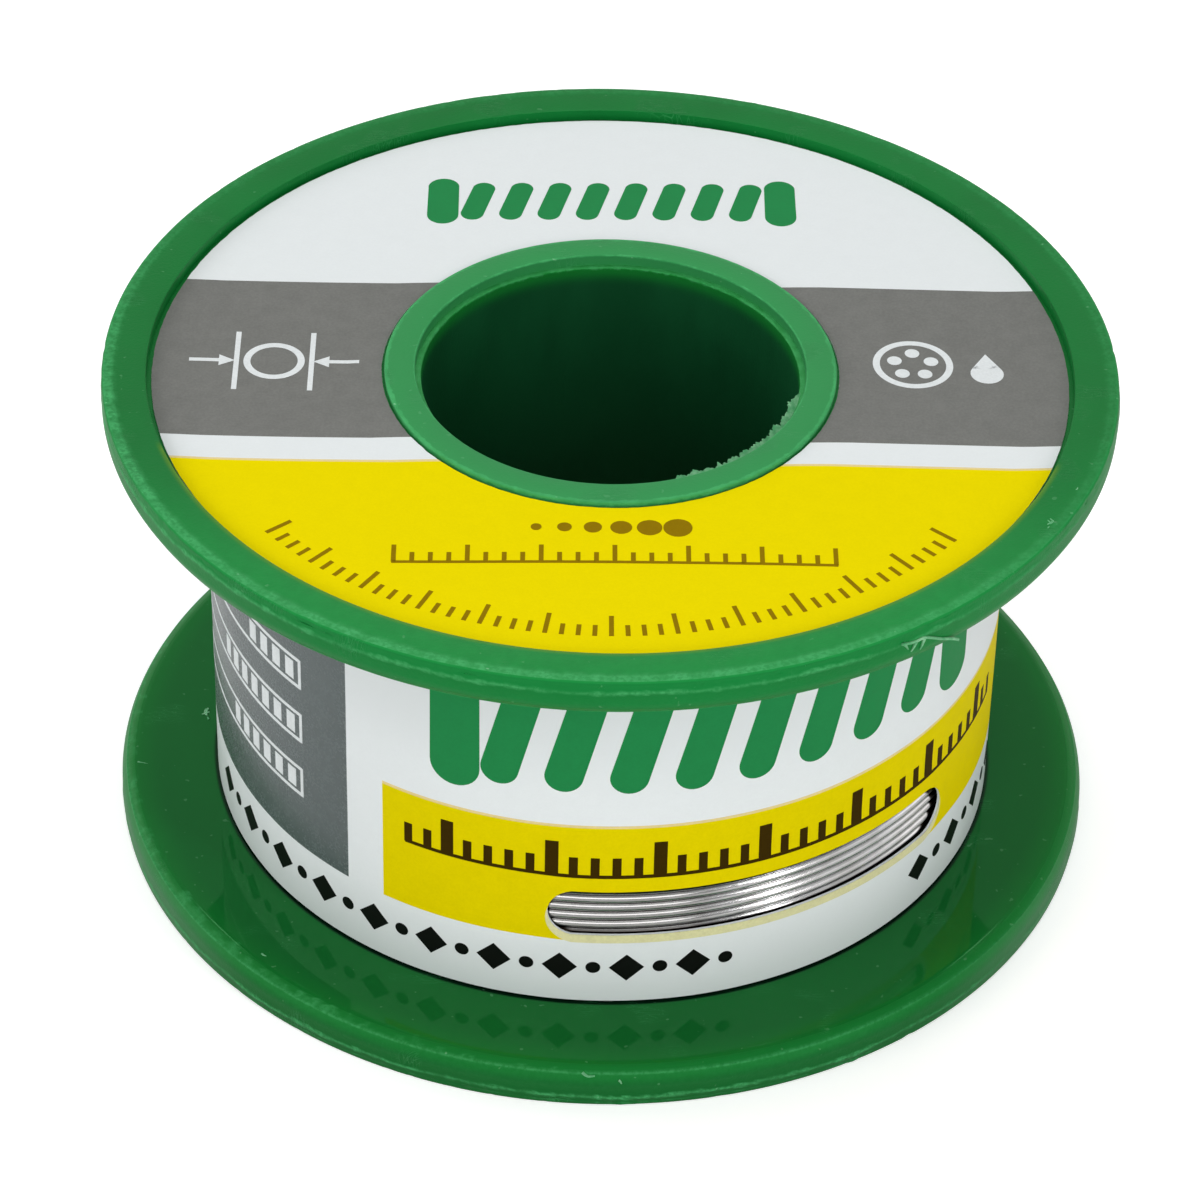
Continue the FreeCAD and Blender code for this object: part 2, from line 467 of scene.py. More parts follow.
def edge_wear_group():
    """A mask of the rubbed, paler plastic along one round edge of a moulding."""
    sizes = {"Radius": 0.0, "Height": 0.0, "Reach": mm, "Patches": 0.5}
    group, given, result = new_group("edge_wear", sizes, ["Mask"])
    radius, height = place_on_spool(group)
    away = length_of(group, calc(group, "SUBTRACT", radius, given["Radius"]),
                     calc(group, "SUBTRACT", height, given["Height"]))
    frayed = calc(group, "SUBTRACT", grain_noise(group, 0.5 * mm, 3.0, 0.6), 0.5)
    spread = calc(group, "MULTIPLY_ADD", frayed, 1.6, calc(group, "DIVIDE", away, given["Reach"]))
    near = ramp(group, spread, 1.0, 0.6)
    patches = ramp(group, grain_noise(group, 1.1 * mm, 4.0, 0.7), 0.35, 0.7)
    patchy = calc(group, "MULTIPLY_ADD", patches, given["Patches"],
                  calc(group, "SUBTRACT", 1.0, given["Patches"]))
    feed(group, result["Mask"], times(group, near, patchy))
    return group


def scuff_group():
    """Fine straight scratches and small pale nicks on a handled surface."""
    group, given, result = new_group("scuffs", {"Amount": 0.5}, ["Scratches", "Nicks"])
    place = group.nodes.new("ShaderNodeTexCoord")
    lines = None
    for turned, size in ((0.5, 5.0), (2.1, 7.0)):
        laid = group.nodes.new("ShaderNodeMapping")
        laid.inputs["Rotation"].default_value = (0, 0, turned)
        laid.inputs["Scale"].default_value = (1 / (size * mm), 12 / (size * mm), 1 / (size * mm))
        group.links.new(place.outputs["Object"], laid.inputs["Vector"])
        cells = group.nodes.new("ShaderNodeTexVoronoi")
        cells.feature = "DISTANCE_TO_EDGE"
        group.links.new(laid.outputs["Vector"], cells.inputs["Vector"])
        line = ramp(group, cells.outputs["Distance"], 0.03, 0.0)
        lines = line if lines is None else calc(group, "MAXIMUM", lines, line)
    broken = ramp(group, grain_noise(group, 3.5 * mm, 1.0), 0.58, 0.72)
    feed(group, result["Scratches"], times(group, lines, broken, given["Amount"]))
    spots = ramp(group, grain_noise(group, 0.45 * mm, 1.0), 0.74, 0.8)
    feed(group, result["Nicks"], times(group, spots, given["Amount"]))
    return group


def place_group(tree, group, **values):
    """A group in a material, with its inputs set; its outputs."""
    made = tree.nodes.new("ShaderNodeGroup")
    made.node_tree = group
    for name, value in values.items():
        made.inputs[name].default_value = value
    return made.outputs


def new_material(name):
    """A material with its surface shader, ready for its finish."""
    material = bpy.data.materials.new(name)
    material.use_nodes = True
    return material.node_tree, material.node_tree.nodes["Principled BSDF"], material


def bump(tree, shader, height, distance, strength=1.0):
    """Raise the surface by a height from 0 to 1 times a distance."""
    made = tree.nodes.new("ShaderNodeBump")
    made.inputs["Distance"].default_value = distance
    made.inputs["Strength"].default_value = strength
    feed(tree, made.inputs["Height"], height)
    tree.links.new(made.outputs["Normal"], shader.inputs["Normal"])


edge_wear = edge_wear_group()
scuffs = scuff_group()
moulded_green = (0.004, 0.155, 0.027, 1)
deep_green = (0.003, 0.132, 0.022, 1)
painted_lit_wall_green = (0.009, 0.225, 0.046, 1)
front_lit_green = (0.013, 0.25, 0.05, 1)
yellow_tinge = (0.13, 0.26, 0.008, 1)
# A darker green for the polished inner faces and the lower flange's body: partly polish, partly painted
# shade low down under the upper flange.
polished_shaded_green = (0.007, 0.124, 0.023, 1)
painted_glow_green = (0.008, 0.178, 0.026, 1)
contact_shadow_green = (0.001, 0.012, 0.005, 1)
bore_shaded_green = (0.005, 0.058, 0.019, 1)
rubbed_green = (0.065, 0.385, 0.132, 1)
whitened_and_sheen_green = (0.24, 0.56, 0.31, 1)
torn_green = (0.09, 0.37, 0.16, 1)
torn_white = (0.26, 0.55, 0.32, 1)
plastic_gloss = 0.25
gloss_tint = (0.15, 1.0, 0.3, 1)
wrap_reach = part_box("wrap_label")[1].x


def set_gloss(shader):
    """Give a plastic its weak, greenish gloss."""
    shader.inputs["Specular IOR Level"].default_value = plastic_gloss
    shader.inputs["Specular Tint"].default_value = gloss_tint


def flange_plastic(name, inner_face, outward, lit_upper_share, body_green):
    """Satin green plastic, polished on the inner face, rubbed pale along the edges, with painted light
    and shade.
    """
    tree, shader, material = new_material(name)
    x, y, height = place_on_piece(tree)
    radius = length_of(tree, x, y)
    from_inner = calc(tree, "ABSOLUTE", calc(tree, "SUBTRACT", height, inner_face))
    clouds = grain_noise(tree, 9 * mm, 3.0, 0.6)
    body = blend_colour(tree, ramp(tree, clouds, 0.3, 0.75), *body_green)

    glossy = ramp(tree, from_inner, 0.06 * mm, 0.02 * mm)
    # A painted shadow on the polished face at the foot of the wrap label.
    wrap_foot_shadow = ramp(tree, radius, wrap_reach + 0.3 * mm, wrap_reach + 0.1 * mm)
    # A painted glow on the inner face and its rounding near the rim's edge, standing in for light
    # falling there.
    painted_glow = times(tree, ramp(tree, from_inner, 1.0 * mm, 0.4 * mm),
                    ramp(tree, radius, flange_radius - 2.6 * mm, flange_radius - 0.6 * mm))
    # The upper flange's wall is painted lighter, more above the parting line, as painted light from
    # above.
    lit_wall = ramp(tree, radius, flange_radius - 0.35 * mm, flange_radius - 0.15 * mm, 0.0, lit_upper_share)
    lit_above_line = ramp(tree, from_inner, parting_height - 0.1 * mm, parting_height + 0.1 * mm, 0.5, 0.75)
    # A whitish painted sheen along the lower flange's edge at its sides; the same pale green also marks
    # real nicks.
    lower_sides = ramp(tree, calc(tree, "ABSOLUTE", x), 19 * mm, 26 * mm, 0.0, 0.12 * (1 - lit_upper_share))
    painted_side_sheen = times(tree, lower_sides, ramp(tree, radius, flange_radius - 0.45 * mm, flange_radius - 0.15 * mm))

    on_top = ramp(tree, from_inner, flange_thickness - 0.16 * mm, flange_thickness - 0.06 * mm, 0.0, 0.9)
    # The front of the upper rim's top is painted lighter in patches, standing in for light from the
    # front.
    in_front = ramp(tree, y, -8 * mm, -23 * mm, 0.0, lit_upper_share)
    front_patches = ramp(tree, grain_noise(tree, 0.8 * mm, 4.0, 0.65), 0.3, 0.7, 0.75, 1.0)
    handled_and_front_lit = times(tree, in_front, ramp(tree, radius, recess_radius - 0.2 * mm, recess_radius), front_patches)
    tinged = times(tree, ramp(tree, radius, recess_radius + 0.4 * mm, recess_radius, 0.0, 0.8),
                   ramp(tree, y, -8.5 * mm, -9.5 * mm))
    on_boss = ramp(tree, radius, boss_radius + 0.05 * mm, boss_radius - 0.02 * mm)

    # The rubbed lines are worn pale, with painted light on the rounding beside the witness line.
    lines = tree.nodes.new("ShaderNodeAttribute")
    lines.attribute_name = "rubbed_and_lit_lines"
    crumbly = ramp(tree, grain_noise(tree, 0.25 * mm, 3.0, 0.6), 0.35, 0.62, 0.4, 1.0)
    worn = times(tree, lines.outputs["Fac"], crumbly)
    boss_face = inner_face + outward * (web_thickness + boss_height)
    for edge_radius, reach, patches in ((boss_radius, 0.25 * mm, 0.6), (hole_radius, 0.12 * mm, 0.9)):
        edge = place_group(tree, edge_wear, Radius=edge_radius, Height=boss_face, Reach=reach,
                           Patches=patches)
        worn = calc(tree, "MAXIMUM", worn, edge["Mask"])
    marks = place_group(tree, scuffs, Amount=1.0)
    chipped = times(tree, marks["Nicks"], calc(tree, "MULTIPLY_ADD", worn, 0.85, 0.15))

    colour = paint_over(
        tree, body,
        # The polished inner face, darker partly as painted shade.
        (glossy, polished_shaded_green),
        (times(tree, painted_glow, 0.6), painted_glow_green),
        (times(tree, glossy, wrap_foot_shadow), contact_shadow_green),
        (times(tree, lit_wall, lit_above_line), painted_lit_wall_green),
        (painted_side_sheen, whitened_and_sheen_green),
        (times(tree, handled_and_front_lit, on_top), front_lit_green),
        (times(tree, tinged, on_top), yellow_tinge),
        (worn, rubbed_green),
        (times(tree, on_boss, 0.46), rubbed_green),
        (times(tree, marks["Scratches"], 0.35), rubbed_green),
        (chipped, whitened_and_sheen_green))
    feed(tree, shader.inputs["Base Color"], colour)
    satin = calc(tree, "MULTIPLY_ADD", clouds, 0.16, 0.34)
    rubbed = calc(tree, "MULTIPLY_ADD", worn, 0.18, satin)
    polish = calc(tree, "MULTIPLY_ADD", clouds, 0.03, 0.015)
    smoother = calc(tree, "SUBTRACT", polish, rubbed)
    feed(tree, shader.inputs["Roughness"], calc(tree, "MULTIPLY_ADD", glossy, smoother, rubbed))
    unpolished = calc(tree, "SUBTRACT", 1.0, glossy)
    fine = times(tree, grain_noise(tree, 0.16 * mm, 2.0), unpolished)
    relief = calc(tree, "MULTIPLY_ADD", marks["Nicks"], 1.2, fine)
    relief = calc(tree, "SUBTRACT", relief, marks["Scratches"])
    bump(tree, shader, times(tree, relief, unpolished), 0.02 * mm, 0.6)
    set_gloss(shader)
    return material


def torn_plastic():
    """Plastic whitened where it was torn or scraped thin."""
    tree, shader, material = new_material("torn_plastic")
    patches = ramp(tree, grain_noise(tree, 0.5 * mm, 3.0, 0.6), 0.3, 0.7)
    feed(tree, shader.inputs["Base Color"], blend_colour(tree, patches, torn_green, torn_white))
    feed(tree, shader.inputs["Roughness"], calc(tree, "MULTIPLY_ADD", patches, 0.15, 0.4))
    set_gloss(shader)
    return material


whitened_plastic = torn_plastic()
for bits in (flash, curls, crumbs):
    bits.data.materials.append(whitened_plastic)
# The upper flange takes the painted lighter wall and front; the lower takes the painted side sheen and
# the darker, partly shaded body green.
for piece, node, inner_face, outward, lit_upper_share, body_green in (
        (lower_flange, "lower_flange", flange_thickness, -1, 0.0, (polished_shaded_green, polished_shaded_green)),
        (upper_flange, "upper_flange", flange_low.z, 1, 1.0, (deep_green, moulded_green))):
    piece.data.materials.append(
        flange_plastic(node + "_plastic", inner_face, outward, lit_upper_share, body_green))
    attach(piece, "root")
    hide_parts(node)
join_into(upper_flange, [flash, crumbs])
join_into(lower_flange, [curls])

# The core tube is the barrel that the wire is wound on, a plain green tube.
# Its ends stand in the sockets of both flanges and show as a thin ledge inside each boss.
core_wall = 1.7 * mm
core_end_rounding = 0.1 * mm
core_bore_radius = core_radius - core_wall


def add_tube(name, corners, outer, inner, low, high, end_steps=1):
    """An upright tube between two heights, its ends in round steps, open for editing."""
    piece = add_drum(name, corners, outer, low, high)
    pick_faces(piece, lambda middle, out: abs(out.z) > 0.9)
    for _ in range(end_steps):
        bpy.ops.mesh.inset(thickness=(outer - inner) / end_steps)
    open_hole(piece, inner, low, high)
    return piece


core_tube = add_tube("core_tube_barrel", 480, core_radius, core_bore_radius, core_low.z, core_high.z)
bore_rings = [core_low.z + share * (core_high.z - core_low.z) for share in (0.25, 0.5, 0.75)]
cut_round(core_tube, bore_rings, core_bore_radius)
pick_rings(core_tube, [(core_bore_radius, core_low.z), (core_bore_radius, core_high.z)])
bpy.ops.mesh.bevel(offset=core_end_rounding, segments=3, affect="EDGES")
finish_piece(core_tube)


def barrel_plastic():
    """The same green, unpolished, much darker as painted shade inside the bore, painted lighter again
    from 27 mm down to 16 mm, with a painted glow at its lit end and whitened wear.
    """
    tree, shader, material = new_material("barrel_plastic")
    clouds = grain_noise(tree, 4 * mm, 3.0, 0.6, (1, 1, 0.4))
    height = place_on_spool(tree)[1]
    lit = ramp(tree, height, core_high.z - 1.5 * mm, core_high.z - 0.1 * mm)
    worn = place_group(tree, edge_wear, Radius=core_bore_radius + 0.2 * mm, Height=core_high.z,
                       Reach=0.25 * mm, Patches=0.6)["Mask"]
    body = blend_colour(tree, ramp(tree, clouds, 0.3, 0.75), bore_shaded_green, tinted(bore_shaded_green, 1.3))
    # Painted shade darkens the bore, painted light lifts it lower down, and a painted glow lies at the
    # top end.
    colour = paint_over(
        tree, body,
        (ramp(tree, height, 27 * mm, 16 * mm), tinted(bore_shaded_green, 1.45)),
        (calc(tree, "POWER", lit, 2.0), painted_glow_green),
        (times(tree, worn, 0.6), rubbed_green))
    feed(tree, shader.inputs["Base Color"], colour)
    feed(tree, shader.inputs["Roughness"], calc(tree, "MULTIPLY_ADD", clouds, 0.2, 0.3))
    bump(tree, shader, grain_noise(tree, 0.2 * mm, 2.0), 0.02 * mm, 0.5)
    set_gloss(shader)
    return material


# Cutting the tube to length left a torn frill on its near right edge, leaning into the hole.
frill_start = math.radians(14.0)
frill_end = math.radians(84.0)
frill_steps = 280
bpy.ops.mesh.primitive_grid_add(x_subdivisions=frill_steps, y_subdivisions=4, size=1)
frill = bpy.context.active_object
frill.name = "frill"
apply_modifier(frill, "SOLIDIFY", thickness=0.05)
for vert in frill.data.vertices:
    along, across, out = vert.co.x + 0.5, vert.co.y + 0.5, vert.co.z
    azimuth = frill_start + (frill_end - frill_start) * along
    fading = min(1.0, 9 * along, 12 * (1 - along))
    fine = noise.noise(Vector((azimuth * 60, 3.1, 0)))
    coarse = noise.noise(Vector((azimuth * 18, 8.2, 0)))
    torn_length = (0.42 + 0.16 * fine + 0.22 * coarse) * mm * fading
    reach = max(0.02 * mm, torn_length) * across
    radius = core_bore_radius + 0.14 * mm - reach + out * mm * 0.3
    height = core_high.z - 0.03 * mm + 0.55 * reach + out * mm
    vert.co = (radius * math.sin(azimuth), -radius * math.cos(azimuth), height)
bpy.ops.object.mode_set(mode="EDIT")
bpy.ops.mesh.select_all(action="SELECT")
bpy.ops.mesh.normals_make_consistent(inside=False)
bpy.ops.object.mode_set(mode="OBJECT")
bpy.ops.object.shade_smooth_by_angle(angle=math.radians(50))
frill.data.materials.append(whitened_plastic)
core_tube.data.materials.append(barrel_plastic())
join_into(core_tube, [frill])
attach(core_tube, "root")
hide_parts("core_tube")

# The solder is one long drawn wire of tin alloy, 0.6 mm thick, wound turn against turn.
# The outer layer is the wire itself; the layers under it are one closed drum.
winding_low, winding_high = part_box("solder_winding")
winding_radius = winding_high.x
wire_radius = 0.3 * mm
turn_count = 42
turn_pitch = (winding_high.z - winding_low.z) / turn_count
wire_sides = 16
steps_per_turn = 140
window_azimuth = math.radians(25.0)
window_length = 25.7 * mm
window_height = 3.3 * mm
window_middle = 9.35 * mm
first_turn = (winding_radius - wire_radius, 0, winding_low.z + turn_pitch / 2)
bpy.ops.mesh.primitive_circle_add(vertices=wire_sides, radius=wire_radius, fill_type="NOTHING",
                                  rotation=(math.pi / 2, 0, 0), location=first_turn)
winding = bpy.context.active_object
winding.name = "solder_wire"
winding.data.name = "solder_wire"
bpy.ops.object.transform_apply(location=True, rotation=True)
apply_modifier(winding, "SCREW", axis="Z", screw_offset=turn_pitch, iterations=turn_count - 1,
               steps=steps_per_turn, render_steps=steps_per_turn, use_merge_vertices=False)
for vert in winding.data.vertices:
    azimuth = math.atan2(vert.co.y, vert.co.x)
    out_x, out_y = math.cos(azimuth), math.sin(azimuth)
    turn = (vert.co.z - winding_low.z) / turn_pitch
    sway = noise.noise(Vector((out_x * 1.5, out_y * 1.5, turn * 0.45)))
    sink = noise.noise(Vector((out_x * 2.5, out_y * 2.5, turn * 0.9 + 50)))
    vert.co.z += 0.035 * mm * sway
    vert.co -= Vector((out_x, out_y, 0)) * 0.03 * mm * (0.5 + 0.5 * sink)
bpy.ops.object.mode_set(mode="EDIT")
bpy.ops.mesh.select_all(action="SELECT")
bpy.ops.mesh.fill_holes(sides=wire_sides)
bpy.ops.mesh.normals_make_consistent(inside=False)
bpy.ops.object.mode_set(mode="OBJECT")
bpy.ops.object.shade_smooth()

drum_radius = winding_radius - 1.75 * wire_radius
drum = add_tube("under_layers", 360, drum_radius, core_radius, winding_low.z, winding_high.z)
finish_piece(drum)
join_into(winding, [drum])

solder_bright = (0.66, 0.655, 0.66, 1)
solder_tarnished = (0.5, 0.49, 0.48, 1)
solder_painted_dim = (0.37, 0.362, 0.355, 1)
groove_shade_dark = (0.02, 0.018, 0.016, 1)
window_shade = (0.012, 0.008, 0.005, 1)
shade_aside = 0.2 * mm
shade_below = 0.2 * mm


def drawn_solder():
    """Bright drawn tin alloy, slightly tarnished, with painted shade: dimmer on the left and dark in its
    grooves.

    The edge of the paper's window shades the wire.
    """
    tree, shader, material = new_material("drawn_solder")
    x, y, height = place_on_piece(tree)
    azimuth = calc(tree, "ARCTAN2", x, times(tree, y, -1.0))
    lines = grain_noise(tree, 0.3 * mm, 1.0, 0.5, (0.1, 0.1, 1))
    tarnish = ramp(tree, grain_noise(tree, 2.5 * mm, 3.0, 0.6), 0.3, 0.8)
    # Painted shade: the wire dimmer to the left of the window's middle.
    painted_dimming = ramp(tree, azimuth, math.radians(20.0), math.radians(12.0), 0.0, 0.7)
    # Painted shade in the grooves between the turns.
    groove_shade = ramp(tree, length_of(tree, x, y), winding_radius - 0.13 * mm, winding_radius - 0.3 * mm)
    from_middle = times(tree, calc(tree, "SUBTRACT", azimuth, window_azimuth), winding_radius)
    aside = calc(tree, "ABSOLUTE", calc(tree, "ADD", from_middle, shade_aside))
    past_straight = calc(tree, "SUBTRACT", aside, (window_length - window_height) / 2)
    above = calc(tree, "SUBTRACT", height, window_middle - shade_below)
    outline = length_of(tree, calc(tree, "MAXIMUM", past_straight, 0.0), above)
    shaded = ramp(tree, outline, window_height / 2 - 0.34 * mm, window_height / 2 - 0.17 * mm)
    colour = paint_over(
        tree, solder_bright,
        (tarnish, solder_tarnished),
        (painted_dimming, solder_painted_dim),
        (groove_shade, groove_shade_dark),
        (shaded, window_shade))
    feed(tree, shader.inputs["Base Color"], colour)
    shader.inputs["Metallic"].default_value = 1.0
    feed(tree, shader.inputs["Roughness"], calc(tree, "MULTIPLY_ADD", lines, 0.05, 0.13))
    return material


winding.data.materials.clear()
winding.data.materials.append(drawn_solder())
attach(winding, "root")
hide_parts("solder_winding")

# Each flange label is a ring of printed, coated paper, die-cut and stuck in the recess.
# A grey band and a yellow field cross it, with a white stripe between them.
label_low, label_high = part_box("upper_flange_label")
label_radius = label_high.x
paper = label_high.z - label_low.z
label_hole_radius = boss_radius + 0.15 * mm
print_tilt = math.radians(0.9)
grey_top = 8.45 * mm
grey_bottom = -6.75 * mm
yellow_top = -9.0 * mm
edge_line = 0.2 * mm
paper_white = (0.8, 0.84, 0.845, 1)
print_grey = (0.2, 0.203, 0.19, 1)
wrap_grey = (0.1, 0.126, 0.126, 1)
print_yellow = (0.87, 0.72, 0.0, 1)
print_green = (0.014, 0.24, 0.065, 1)
print_black = (0.004, 0.005, 0.004, 1)
print_brown = (0.045, 0.024, 0.001, 1)
print_olive = (0.29, 0.18, 0.001, 1)
print_edge = (0.84, 0.68, 0.3, 1)
print_halo = (0.78, 0.76, 0.42, 1)


def paper_group():
    """The height of the coated paper's fine fibres and the mottle of its ink."""
    group, given, result = new_group("coated_paper", {"Speckle": 0.5}, ["Height", "Mottle"])
    feed(group, result["Height"], grain_noise(group, 0.22 * mm, 3.0, 0.6))
    coarse = ramp(group, grain_noise(group, 0.9 * mm, 4.0, 0.65), 0.25, 0.75)
    speckle = ramp(group, grain_noise(group, 0.16 * mm, 2.0, 0.6), 0.3, 0.7)
    finer = calc(group, "SUBTRACT", speckle, coarse)
    feed(group, result["Mottle"], calc(group, "MULTIPLY_ADD", finer, given["Speckle"], coarse))
    return group


coated_paper = paper_group()


def printed(name, colour, gloss=0.42, unevenness=0.1, sheen=0.07, shade=0.0):
    """Ink of one colour on the coated paper, darker by a share near the flanges as painted shade."""
    tree, shader, material = new_material(name)
    sheet = place_group(tree, coated_paper)
    ink = blend_colour(tree, sheet["Mottle"], tinted(colour, 1 - unevenness), colour)
    if shade:
        # Painted shade near both flanges.
        height = place_on_spool(tree)[1]
        painted_flange_shade = calc(tree, "MAXIMUM", ramp(tree, height, 8.5 * mm, 3 * mm),
                           ramp(tree, height, 17 * mm, 23 * mm))
        ink = blend_colour(tree, painted_flange_shade, ink, tinted(colour, 1 - shade))
    feed(tree, shader.inputs["Base Color"], ink)
    feed(tree, shader.inputs["Roughness"], calc(tree, "MULTIPLY_ADD", sheet["Mottle"], 0.12, gloss))
    bump(tree, shader, sheet["Height"], 0.012 * mm, 0.25)
    shader.inputs["Specular IOR Level"].default_value = sheen
    return material


white_paper = printed("white_paper", paper_white, 0.5, 0.03)
# The wrap's white is the ring paper painted 4% lighter and its yellow the ring yellow painted 8% darker,
# as painted light and shade on the wrap.
wrap_white_lit_and_shaded = printed("wrap_white_lit_and_shaded", tinted(paper_white, 1.04), 0.3, 0.03, 0.4, 0.12)
white_ink = printed("white_ink", paper_white, 0.45, 0.12)
grey_ink = printed("grey_ink", print_grey, 0.4, 0.22)
wrap_grey_ink = printed("wrap_grey_ink", wrap_grey, 0.2, 0.25, 0.5, 0.1)
yellow_ink = printed("yellow_ink", print_yellow, 0.42, 0.05, 0.01)
wrap_yellow_shaded_ink = printed("wrap_yellow_shaded_ink", tinted(print_yellow, 0.92), 0.42, 0.07, 0.01)
edge_ink = printed("edge_ink", print_edge, 0.42, 0.1)
halo_ink = printed("halo_ink", print_halo, 0.42, 0.15)
green_ink = printed("green_ink", print_green, 0.38, 0.1)
black_ink = printed("black_ink", print_black, 0.38, 0.15)
brown_ink = printed("brown_ink", print_brown, 0.38, 0.15, 0.02)
olive_ink = printed("olive_ink", print_olive, 0.42, 0.12, 0.02)
ink_film = 0.012 * mm
dice_pitch = 0.9 * mm


def lay_bar(x, y, width, height, turned=0.0):
    """A rectangle of ink, as a thin closed plate on height 0."""
    bpy.ops.mesh.primitive_cube_add(size=1, location=(x, y, 0), rotation=(0, 0, turned),
                                    scale=(width, height, 2 * ink_film))
    bpy.ops.object.transform_apply(location=True, rotation=True, scale=True)
    return bpy.context.active_object


def lay_dot(x, y, radius, corners=28, turned=0.0):
    """A round spot of ink, or one with few corners."""
    bpy.ops.mesh.primitive_cylinder_add(vertices=corners, radius=radius, depth=2 * ink_film,
                                        location=(x, y, 0), rotation=(0, 0, turned))
    bpy.ops.object.transform_apply(location=True, rotation=True)
    return bpy.context.active_object


def lay_stadium(x, y, width, height, turned=0.0, depth=2 * ink_film):
    """An upright bar of ink with round ends."""
    bpy.ops.mesh.primitive_cylinder_add(vertices=32, radius=width / 2, depth=depth)
    piece = bpy.context.active_object
    for vert in piece.data.vertices:
        vert.co.y += (height - width) / 2 * (1 if vert.co.y > 0 else -1)
    piece.data.transform(Matrix.Translation((x, y, 0)) @ Matrix.Rotation(turned, 4, "Z"))
    return piece


def lay_ring(x, y, outer, inner):
    """A round line of ink."""
    ring = add_tube("ink_ring", 64, outer, inner, -ink_film, ink_film)
    bpy.ops.object.mode_set(mode="OBJECT")
    ring.data.transform(Matrix.Translation((x, y, 0)))
    return ring


def cut_through(point, across):
    """Cut all of the opened piece along the plane at a point, square to a direction."""
    bpy.ops.mesh.select_all(action="SELECT")
    bpy.ops.mesh.bisect(plane_co=point, plane_no=across, threshold=cut_exact)


def inked(marks, ink):
    """Join marks into one print of one ink, diced fine enough to follow curved paper."""
    if len(marks) > 1:
        join_into(marks[0], marks[1:])
    marks[0].data.materials.append(ink)
    pick_only(marks[0])
    bpy.ops.object.mode_set(mode="EDIT")
    for axis, (x, y) in enumerate(((1, 0), (0, 1))):
        places = [vert.co[axis] for vert in bmesh.from_edit_mesh(marks[0].data).verts]
        cut, last = min(places) + dice_pitch, max(places)
        while cut < last:
            cut_through((cut * x, cut * y, 0), (x, y, 0))
            cut += dice_pitch
    bpy.ops.object.mode_set(mode="OBJECT")
    return marks[0]


def reel_emblem(x, y, width, height):
    """A drawn reel: two upright end plates with slanted turns of wire between them."""
    plate = 0.085 * width
    marks = [lay_stadium(x + side * (width - plate) / 2, y, plate, height) for side in (-1, 1)]
    turns = 8
    gap = (width - 2 * plate) / turns
    for turn in range(turns):
        middle = x - width / 2 + plate + gap * (turn + 0.5)
        marks.append(lay_stadium(middle, y, 0.6 * gap, 0.84 * height, math.radians(-14)))
    return marks


# The places of the signs and scales on the ring, in mm.
gauge_x, gauge_y = -19.2, 0.5
section_x, section_y = 17.3, 0.9
drop_x, drop_y = 21.5, 0.2
scale_y = -18.0
curved_scale_radius = 24.4


def ring_prints():
    """The prints of a flange label, with their slight turn: a reel, signs and two scales."""
    white_marks = [lay_ring(gauge_x * mm, gauge_y * mm, 1.75 * mm, 1.35 * mm)]
    for side in (-1, 1):
        white_marks += [
            lay_bar((gauge_x + side * 2.15) * mm, gauge_y * mm, 0.3 * mm, 5.6 * mm),
            lay_dot((gauge_x + side * 2.85) * mm, gauge_y * mm, 0.6 * mm, 3, math.radians(90 * side)),
            lay_bar((gauge_x + side * 4.0) * mm, gauge_y * mm, 1.7 * mm, 0.3 * mm)]
    white_marks.append(lay_ring(section_x * mm, section_y * mm, 2.3 * mm, 1.9 * mm))
    for core in range(5):
        turned = math.radians(90 + 72 * core)
        core_x = (section_x + 1.1 * math.cos(turned)) * mm
        core_y = (section_y + 1.1 * math.sin(turned)) * mm
        white_marks.append(lay_dot(core_x, core_y, 0.42 * mm))
    white_marks.append(lay_dot(drop_x * mm, drop_y * mm, 0.95 * mm))
    white_marks.append(lay_dot(drop_x * mm, (drop_y + 0.95) * mm, 0.95 * mm, 3))
    olive_marks = [lay_dot((-4.1 + 1.55 * size) * mm, -14.9 * mm, (0.3 + 0.1 * size) * mm)
                   for size in range(6)]
    olive_marks.append(lay_bar(0.2 * mm, scale_y * mm, 24.2 * mm, 0.22 * mm))
    for tick in range(25):
        tall = 1.5 if tick % 4 == 0 else 0.85
        middle = (scale_y + tall / 2) * mm
        olive_marks.append(lay_bar((-11.8 + tick) * mm, middle, 0.26 * mm, tall * mm))
    for tick in range(-24, 25):
        turned = math.radians(2.1 * tick)
        tall = 1.7 if tick % 4 == 0 else 0.9
        radius = (curved_scale_radius - tall / 2) * mm
        olive_marks.append(lay_bar(radius * math.sin(turned), -radius * math.cos(turned), 0.26 * mm,
                                   tall * mm, turned))
    emblem = reel_emblem(0.1 * mm, 17.1 * mm, 22 * mm, 4.8 * mm)
    prints = [inked(emblem, green_ink), inked(white_marks, white_ink), inked(olive_marks, olive_ink)]
    for marks in prints:
        marks.data.transform(Matrix.Translation((0, 0, paper)) @ Matrix.Rotation(print_tilt, 4, "Z"))
    return prints


